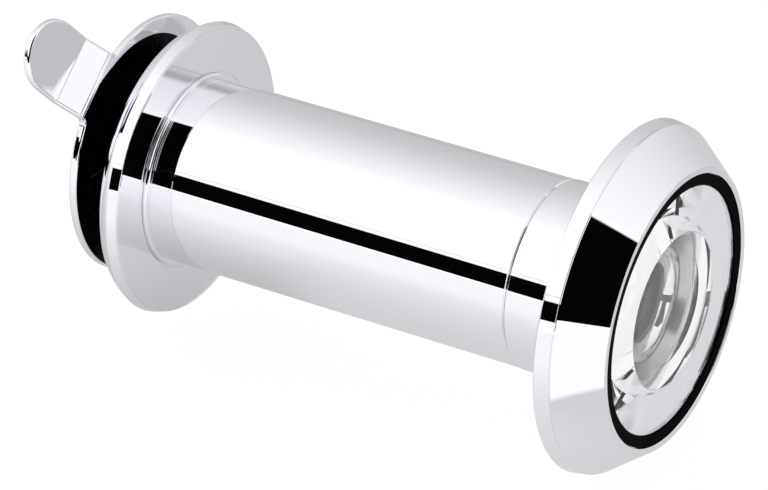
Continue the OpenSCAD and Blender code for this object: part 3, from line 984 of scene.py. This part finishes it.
class VIEWER_OT_stage(Builder, bpy.types.Operator):
    """Build the floor, the soft light and the camera"""

    bl_idname = "viewer.stage"
    bl_label = "Stage"

    floor_half, bounces = 1.6, 32
    # Brightness of the floor as the camera and the lenses see it, and share of it that is its own light
    floor_white, floor_grey, own_light = 1.04, (0.86, 0.86, 0.86, 1), 0.92

    def build(self):
        self.floor()
        self.sky()
        self.camera()
        scene = bpy.context.scene
        scene.view_settings.view_transform = "Standard"
        cycles = scene.cycles
        cycles.max_bounces = cycles.glossy_bounces = cycles.transmission_bounces = self.bounces

    def floor(self):
        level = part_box("bezel")[0].z - bpy.context.scene.viewer_stage.floor_level
        size = self.floor_half
        mesh = bpy.data.meshes.new("floor")
        corners = [(-size, -size, level), (size, -size, level), (size, size, level), (-size, size, level)]
        mesh.from_pydata(corners, [], [(0, 1, 2, 3)])
        plane = linked("floor", mesh)
        material = bpy.data.materials.new("pale_floor")
        material.use_nodes = True
        material.node_tree.nodes.clear()
        g = Graph(material.node_tree)
        ray = g.add("ShaderNodeLightPath").outputs
        mirrored = g.math("ADD", ray["Is Camera Ray"], ray["Is Glossy Ray"], clamp=True)
        seen = g.math("ADD", mirrored, ray["Is Transmission Ray"], clamp=True)
        direct = g.math("MAXIMUM", ray["Is Camera Ray"], ray["Is Transmission Ray"])
        strength = g.mix(direct, self.mirrored_floor(g), self.floor_white)
        emission = g.add("ShaderNodeEmission", (1, 1, 1, 1), strength).outputs[0]
        diffuse = g.add("ShaderNodeBsdfDiffuse", self.floor_grey).outputs[0]
        share = g.times(seen, self.own_light)
        mix = g.add("ShaderNodeMixShader", share, diffuse, emission)
        g.add("ShaderNodeOutputMaterial", mix.outputs[0])
        mesh.materials.append(material)

    def mirrored_floor(self, g):
        """Brightness of the floor as the chrome mirrors it, by the place on the floor in metres: painted
        light and painted shade.
        """
        x, y, _ = g.axes()
        # Painted shade near the object that gives way to light towards the front: softly beside the barrel,
        # with an edge beside the bezel
        barrel = g.ramp(y, 0.01, -0.056, start=0.655, end=1.055)
        bezel = g.ramp(y, -0.02, -0.022, start=0.7, end=1.12)
        level = g.mix(g.ramp(x, 0.004, 0.009, kind="LINEAR"), barrel, bezel)
        # Painted shade far behind the object, to both sides
        behind = g.ramp(y, 0.025, 0.05, end=0.14)
        aside = g.ramp(g.math("ABSOLUTE", x), 0.01, 0.03, kind="LINEAR")
        level = g.math("SUBTRACT", level, g.times(behind, aside))
        # Painted shadow under the rosette
        under = g.ramp(x, -0.024, -0.032, end=0.13)
        front = g.ramp(y, -0.022, -0.006, kind="LINEAR")
        back = g.ramp(y, 0.016, 0.0, kind="LINEAR")
        under = g.times(under, g.times(front, back))
        return g.math("SUBTRACT", level, under)

    def sky(self):
        """A white room that is darker behind the object, with the unlit studio showing low in front.
        In degrees, bearing turns from the front (-y) towards +x, and height goes up from level."""
        world = bpy.data.worlds.new("soft_studio")
        bpy.context.scene.world = world
        world.use_nodes = True
        world.node_tree.nodes.clear()
        g = Graph(world.node_tree)
        x, y, z = g.axes("Generated")
        to_degrees = degrees(1)
        minus_y = g.times(y, -1.0)
        height = g.times(g.math("ARCSINE", z), to_degrees)
        bearing = g.times(g.math("ARCTAN2", x, minus_y), to_degrees)
        dark = self.dark_studio(g, x, minus_y, z, bearing, height)
        tone = self.grey_patches(g, bearing, height)
        light = g.times(self.room_light(g, x, y, minus_y), tone)
        light = g.times(light, g.math("MULTIPLY_ADD", dark, -0.999, 1.0))
        camera_ray = g.add("ShaderNodeLightPath").outputs["Is Camera Ray"]
        level = g.mix(camera_ray, light, 1.0)
        background = g.add("ShaderNodeBackground", (1, 1, 1, 1), level)
        g.add("ShaderNodeOutputWorld", background.outputs[0])

    def dark_studio(self, g, x, minus_y, z, bearing, height):
        """1 where the unlit studio shows: a low band in front, and a high block at the front right."""
        band = g.times(g.ramp(height, 17.6, 18.3, 1.0, 0.0), g.ramp(bearing, -64.0, -54.0))
        block = g.times(g.ramp(bearing, 22.0, 31.0), g.ramp(height, 62.0, 66.0, 1.0, 0.0))
        dark = g.math("MAXIMUM", band, block)
        # It ends at an upright plane that leans a little
        lean, skew, soft = -0.164, 0.057, 0.012
        side = g.math("MULTIPLY_ADD", z, lean, g.math("MULTIPLY_ADD", x, skew, minus_y))
        dark = g.times(dark, g.ramp(side, -soft, soft))
        # It starts over a low white wall with a hump near the front
        narrowing, shift, hump_height, wall_height = 0.11, 0.8, 5.0, 1.3
        hump = g.math("MULTIPLY_ADD", bearing, narrowing, shift)
        hump = g.math("MULTIPLY_ADD", g.times(hump, hump), -hump_height, hump_height)
        wall = g.math("ADD", g.math("MAXIMUM", hump, 0.0), wall_height)
        over_wall = g.math("GREATER_THAN", g.math("SUBTRACT", height, wall), 0.0)
        return g.times(dark, over_wall)

    def grey_patches(self, g, bearing, height):
        """Share of the light left in three greyer patches: a line over the studio, and two behind."""
        line_height, line_half, line_loss = 21.5, 0.55, 0.3
        line = g.times(g.math("COMPARE", height, line_height, line_half), g.ramp(bearing, 8.0, 0.0))
        line = g.times(line, g.ramp(bearing, -64.0, -54.0))
        tone = g.math("MULTIPLY_ADD", line, -line_loss, 1.0)
        # Bearings where a patch starts and ends, heights where it ends, and its loss of light
        for start, end, top, loss in (((100.0, 110.0), (136.0, 126.0), (42.0, 34.0), 0.38),
                                      ((136.0, 140.0), (153.0, 149.0), (34.0, 22.0), 0.45)):
            patch = g.times(g.ramp(bearing, *start), g.ramp(bearing, *end))
            patch = g.times(patch, g.ramp(height, *top))
            tone = g.times(tone, g.math("MULTIPLY_ADD", patch, -loss, 1.0))
        return tone

    def room_light(self, g, x, y, minus_y):
        """Brightness of the white room: full overhead, less behind the object, a little more in front."""
        settings = bpy.context.scene.viewer_stage
        right_loss, front_gain = 0.87, 0.15
        tilt = g.math("MULTIPLY_ADD", x, -right_loss, 1.0)
        fall = g.times(g.math("MAXIMUM", y, 0.0), tilt)
        light = g.math("MULTIPLY_ADD", fall, -settings.room, settings.ceiling)
        front = g.math("MINIMUM", g.math("MAXIMUM", minus_y, 0.0), front_gain)
        return g.math("ADD", light, front)

    def camera(self):
        """The camera that was fitted to the circles in the photograph."""
        data = bpy.data.cameras.new("camera")
        data.sensor_fit, data.sensor_width, data.lens = "HORIZONTAL", 36.0, 231.23
        data.clip_start, data.clip_end = 0.01, 10.0
        camera = linked("camera", data)
        place = Vector((0.13801, -0.26408, 0.17660))
        right, up = Vector((0.85891, 0.51212, 0.00012)), Vector((-0.25699, 0.4308, 0.86508))
        back = right.cross(up).normalized()
        camera.matrix_world = Matrix((*zip(right, up, back, place), (0, 0, 0, 1)))
        bpy.context.scene.camera = camera


PIECES = (VIEWER_OT_bezel, VIEWER_OT_front_lenses, VIEWER_OT_lens_tube, VIEWER_OT_sleeve, VIEWER_OT_eyepiece,
          VIEWER_OT_rosette, VIEWER_OT_pivot, VIEWER_OT_cover, VIEWER_OT_stage)


class VIEWER_PT_panel(bpy.types.Panel):
    """Lists the settings and the pieces"""

    bl_idname = "VIEWER_PT_panel"
    bl_label = "Door viewer"
    bl_space_type = "VIEW_3D"
    bl_region_type = "UI"
    bl_category = "Door viewer"

    def draw(self, context):
        for label, group in (("Shape", shape()), ("Finish", finish()), ("Stage", context.scene.viewer_stage)):
            box = self.layout.box()
            box.label(text=label)
            for key in group.__annotations__:
                box.prop(group, key)
        for piece in PIECES:
            self.layout.operator(piece.bl_idname)


GROUPS = (ViewerShape, ViewerFinish, StageSettings)


def register():
    for cls in GROUPS + PIECES + (VIEWER_PT_panel,):
        bpy.utils.register_class(cls)
    bpy.types.Scene.viewer_shape = PointerProperty(type=ViewerShape)
    bpy.types.Scene.viewer_finish = PointerProperty(type=ViewerFinish)
    bpy.types.Scene.viewer_stage = PointerProperty(type=StageSettings)


def unregister():
    for name in ("viewer_shape", "viewer_finish", "viewer_stage"):
        delattr(bpy.types.Scene, name)
    for cls in reversed(GROUPS + PIECES + (VIEWER_PT_panel,)):
        bpy.utils.unregister_class(cls)


def main():
    register()
    bpy.ops.viewer.bezel()
    bpy.ops.viewer.front_lenses()
    bpy.ops.viewer.lens_tube()
    bpy.ops.viewer.sleeve()
    bpy.ops.viewer.eyepiece()
    bpy.ops.viewer.rosette()
    bpy.ops.viewer.pivot()
    bpy.ops.viewer.cover()
    bpy.ops.viewer.stage()


if __name__ == "__main__":
    main()
